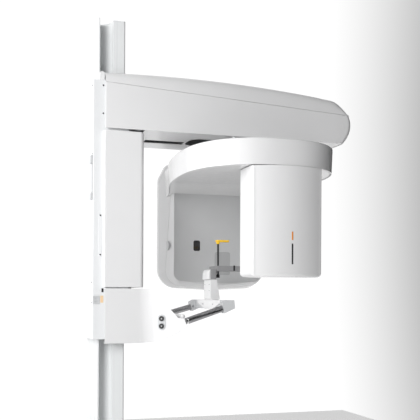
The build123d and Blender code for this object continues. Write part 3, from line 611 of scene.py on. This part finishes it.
def sensor_inner_cover():
    """Inner sensor cover, a shallow box with rounded corners, a hair behind the outer one."""
    low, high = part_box("sensor_inner_shell")
    half = (high[0] - low[0]) / 2 - 0.0008
    front, sharp, round_r, end_r = low[1] + JOINT_GAP, 0.0006, 0.014, 0.016

    def plan(inset):
        """Plan of the cover, drawn in by an inset on all sides but the front."""
        corners = [(-half + inset, front, sharp), (half - inset, front, sharp),
                   (half - inset, high[1] - inset, round_r), (-half + inset, high[1] - inset, round_r)]
        return [(SENSOR_X + p.x, p.y) for p in rounded_loop(corners, 9, 8)]

    rows = [[(x, y, z) for x, y in plan(0)] for z in spread(high[2] - JOINT_GAP, low[2] + end_r, 8)]
    for k in range(1, 9):
        a = math.radians(90 * k / 8)
        z = low[2] + end_r * (1 - math.sin(a))
        rows.append([(x, y, z) for x, y in plan(0.010 * (1 - math.cos(a)))])
    return skin("sensor_inner_cover", rows, "gantry", WHITE, ["sensor_inner_shell"], wrap=True,
                cap_last=True, wall=0.0022, outward=(AXIS_X, -0.28, 1.45), edge=0.0006)


def sensor_cover():
    """Outer sensor cover with a rounded lower end."""
    top, low, r = SENSOR_HIGH[2] - JOINT_GAP, SENSOR_LOW[2], 0.016
    rows = [[(x, y, z) for x, y in sensor_outline(0)] for z in spread(top, low + r + 0.012, 12)]
    for k in range(11):
        a = math.radians(90 * k / 10)
        inset = 0.008 * (1 - math.cos(a))
        narrow = 0.012 * (1 - math.cos(a))
        z = low + r - r * math.sin(a)
        rows.append([(x, y, z) for x, y in sensor_outline(inset, narrow)])
    return skin("sensor_outer_cover", rows, "gantry", WHITE, ["sensor_outer_shell"], wrap=True,
                cap_last=True, wall=0.0022, outward=(SENSOR_X, -0.34, 1.45), edge=0.0007)


def inlay(name, z0, z1, width, material):
    """Thin raised bar on the curved face of the sensor cover."""
    middle, proud = SENSOR_X + 0.006, 0.0003
    across = spread(middle - width / 2, middle + width / 2, 5)
    rows = [[(x, sensor_front(x - SENSOR_X) - proud, z) for x in across] for z in spread(z0, z1, 6)]
    return skin(name, rows, "gantry", material, wall=0.0004, outward=(AXIS_X, 0, 1.3), edge=0)


# ---- small parts that the frame's nodes lack --------------------------------------------------
def plate(name, low, high, body, material, edge):
    """A box between two opposite corners."""
    corners = [(low[0] if i & 1 == 0 else high[0], low[1] if i & 2 == 0 else high[1],
                low[2] if i & 4 == 0 else high[2]) for i in range(8)]
    faces = [(0, 1, 3, 2), (4, 6, 7, 5), (0, 4, 5, 1), (2, 3, 7, 6), (0, 2, 6, 4), (1, 5, 7, 3)]
    piece = new_piece(name, corners, faces, body, material)
    soften(piece, edge, 2)
    return piece


KEY_FACE_RUN = (0.140, 0.072)      # slope of the keys' face, seen from above


def key_mark(name, node, points, body):
    """Small raised arrow on a key."""
    low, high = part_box(node)
    angle = math.atan2(KEY_FACE_RUN[1], KEY_FACE_RUN[0])
    normal = Vector((-math.sin(angle), -math.cos(angle), 0))
    along = Vector((math.cos(angle), -math.sin(angle), 0))
    centre = (Vector(low) + Vector(high)) / 2 + normal * 0.0022
    bottom = [centre + along * u + Vector((0, 0, v)) for u, v in points]
    top = [p + normal * 0.0004 for p in bottom]
    count = len(points)
    faces = [tuple(range(count)), tuple(range(2 * count - 1, count - 1, -1))]
    faces += [(i, (i + 1) % count, count + (i + 1) % count, count + i) for i in range(count)]
    piece = new_piece(name, bottom + top, faces, body, LIGHT)
    soften(piece, 0.0001, 1)
    return piece


arm_side_cover()
arm_top_cover()
ring_cover()
ring_lower_cover()
tubehead_rear()
tubehead_front_frame()
sensor_cover()
sensor_inner_cover()
inlay("mark_long", 1.322, 1.394, 0.006, INK)
inlay("mark_short", 1.406, 1.436, 0.006, ACCENT)
ARROW = [(-0.0032, -0.002), (0.0032, -0.002), (0, 0.0028)]
key_mark("up_arrow", "up_button", ARROW, "up_key")
key_mark("down_arrow", "down_button", [(u, -v) for u, v in ARROW], "down_key")
CHANNEL_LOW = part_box("carriage_channel")[0]
NEAR_FACE = CHANNEL_LOW[1]
plate("rating_label", (-0.064, NEAR_FACE - 0.0005, 1.183), (-0.053, NEAR_FACE, 1.209), "carriage",
      LABEL, 0.0001)
plate("notch_seal", (-0.060, NEAR_FACE - 0.001, 1.222), (-0.0525, NEAR_FACE, 1.236), "carriage",
      BLACK, 0.0003)

# ---- finishes of the frame's own nodes: node, material, edge radius ----------------------------
FINISHES = [
    ("base_plate", DARK_STEEL, 0.002), ("foot_bolts", ZINC, 0.0006), ("column_profile", COLUMN, 0.0008),
    ("column_cap", COLUMN, 0.0006), ("lift_actuator", ALLOY, 0.0006), ("lift_motor", DARK_STEEL, 0.001),
    ("carriage_channel", PAINT, 0.0006), ("carriage_frame", ZINC, 0.0008), ("lift_rod", STEEL, 0.0006),
    ("carriage_pads", ACETAL, 0.0008), ("top_guards", WHITE_SOFT, 0.0015), ("service_hatch", PAINT, 0.0004),
    ("connector_plate", LIGHT, 0.0004), ("cable_clamp", LIGHT, 0.001), ("cable_cover", LIGHT, 0.0006),
    ("cover_screws", STEEL, 0.0005), ("column_cover", WHITE_SOFT, 0.0012), ("arm_underside", WHITE, 0.0006),
    ("arm_frame", ZINC, 0.0008), ("stage_rods", STEEL, 0.0006), ("stage_plate", ALLOY, 0.0008),
    ("rotation_bearing", STEEL, 0.0006), ("rotation_motor", DARK_STEEL, 0.0008),
    ("motor_pulley", ALLOY, 0.0004), ("drive_belt", RUBBER, 0.0002), ("hub_shaft", STEEL, 0.0006),
    ("gantry_frame", ZINC, 0.0008), ("tubehead_panel", GREY, 0.0006), ("collimator_window", WINDOW, 0.0003),
    ("laser_window", LENS, 0.0005), ("laser_wheel", GREY, 0.0006), ("xray_tube_housing", ALLOY, 0.001),
    ("collimator", ALLOY, 0.0008), ("hv_generator", DARK_STEEL, 0.001),
    ("detector_panel", DARK_STEEL, 0.001), ("lower_arm_shell", WHITE_SOFT, 0.007),
    ("button_plate", LIGHT, 0.0006), ("up_button", BLACK, 0.0003), ("down_button", BLACK, 0.0003),
    ("grip_tube_near", TUBE, 0.0004), ("grip_tube_far", TUBE, 0.0004), ("crossbar", LIGHT, 0.0035),
    # chin_bracket and chin_tray take the grey darkened with painted shade.
    ("crossbar_cover", WHITE, 0.002), ("chin_post", WHITE_SOFT, 0.002), ("chin_bracket", GREY_WITH_PAINTED_SHADE, 0.0015),
    ("chin_bracket_cap", WHITE, 0.003), ("chin_tray", GREY_WITH_PAINTED_SHADE, 0.0012), ("tray_clip", BLACK, 0.0006),
    ("bite_rod", BLACK, 0.0006), ("bite_piece", YELLOW, 0.0012),
]
for node_name, finish, width in FINISHES:
    segments = 4 if width > 0.002 else 2
    finish_node(node_name, finish, width, segments)


# ---- studio ---------------------------------------------------------------------------------
def studio_floor():
    """White floor just under the machine, faintly lit from itself."""
    half, z = 3.4, -0.0005
    mesh = bpy.data.meshes.new("floor")
    corners = [(-half, -half, z), (half, -half, z), (half, half, z), (-half, half, z)]
    mesh.from_pydata(corners, [], [(0, 1, 2, 3)])
    floor = bpy.data.objects.new("floor", mesh)
    paint = surface("studio_floor", (0.88, 0.88, 0.88), 0.85, 0.004, 0.02, 30, 0.0001, 0.05)
    shader = paint.node_tree.nodes["Principled BSDF"]
    shader.inputs["Emission Color"].default_value = (1, 1, 1, 1)
    shader.inputs["Emission Strength"].default_value = 0.12
    mesh.materials.append(paint)
    SCENE.collection.objects.link(floor)


def studio_sky():
    """White surround: brightest behind the machine, dimmer behind the camera, dark to the front right."""
    world = bpy.data.worlds.new("studio")
    SCENE.world = world
    world.use_nodes = True
    nodes, links = world.node_tree.nodes, world.node_tree.links
    place = nodes.new("ShaderNodeTexCoord")

    def lobe(direction, start, end, low, high):
        """Brightness that goes from low to high as a view turns towards a direction."""
        dot = nodes.new("ShaderNodeVectorMath")
        dot.operation = "DOT_PRODUCT"
        dot.inputs[1].default_value = Vector(direction).normalized()
        links.new(place.outputs["Generated"], dot.inputs[0])
        shade = nodes.new("ShaderNodeMapRange")
        shade.interpolation_type = "SMOOTHSTEP"
        shade.inputs["From Min"].default_value = start
        shade.inputs["From Max"].default_value = end
        shade.inputs["To Min"].default_value = low
        shade.inputs["To Max"].default_value = high
        links.new(dot.outputs["Value"], shade.inputs["Value"])
        return shade.outputs["Result"]

    product = nodes.new("ShaderNodeMath")
    product.operation = "MULTIPLY"
    links.new(lobe((0.0, -1.0, 0.0), -0.45, 0.35, 1.06, 0.57), product.inputs[0])
    links.new(lobe((0.92, -0.38, 0.05), 0.16, 0.48, 1.0, 0.0), product.inputs[1])
    background = nodes["Background"]
    background.inputs["Color"].default_value = (1, 1, 1, 1)
    links.new(product.outputs["Value"], background.inputs["Strength"])


def area_light(name, place, target, size, power):
    """Rectangular light that faces a point."""
    light = bpy.data.lights.new(name, "AREA")
    light.shape = "RECTANGLE"
    light.size, light.size_y = size
    light.energy = power
    lamp = bpy.data.objects.new(name, light)
    lamp.location = place
    lamp.rotation_euler = (Vector(target) - Vector(place)).to_track_quat("-Z", "Y").to_euler()
    SCENE.collection.objects.link(lamp)


def camera():
    """Level camera at chest height, front left of the machine, shifted towards the machine."""
    data = bpy.data.cameras.new("camera")
    data.lens = 51.797143
    data.sensor_width = 36.0
    data.shift_x = 0.262
    data.shift_y = 0.2033
    cam = bpy.data.objects.new("camera", data)
    cam.location = (-0.566, -2.300, 1.210)
    cam.rotation_mode = "XYZ"
    cam.rotation_euler = (math.radians(90), math.radians(-0.25), math.radians(-12.9))
    SCENE.collection.objects.link(cam)
    SCENE.camera = cam


studio_floor()
studio_sky()
area_light("key", (-1.9, -2.0, 2.1), (0.4, 0, 1.5), (1.4, 1.8), 70)
camera()
SCENE.view_settings.view_transform = "Standard"
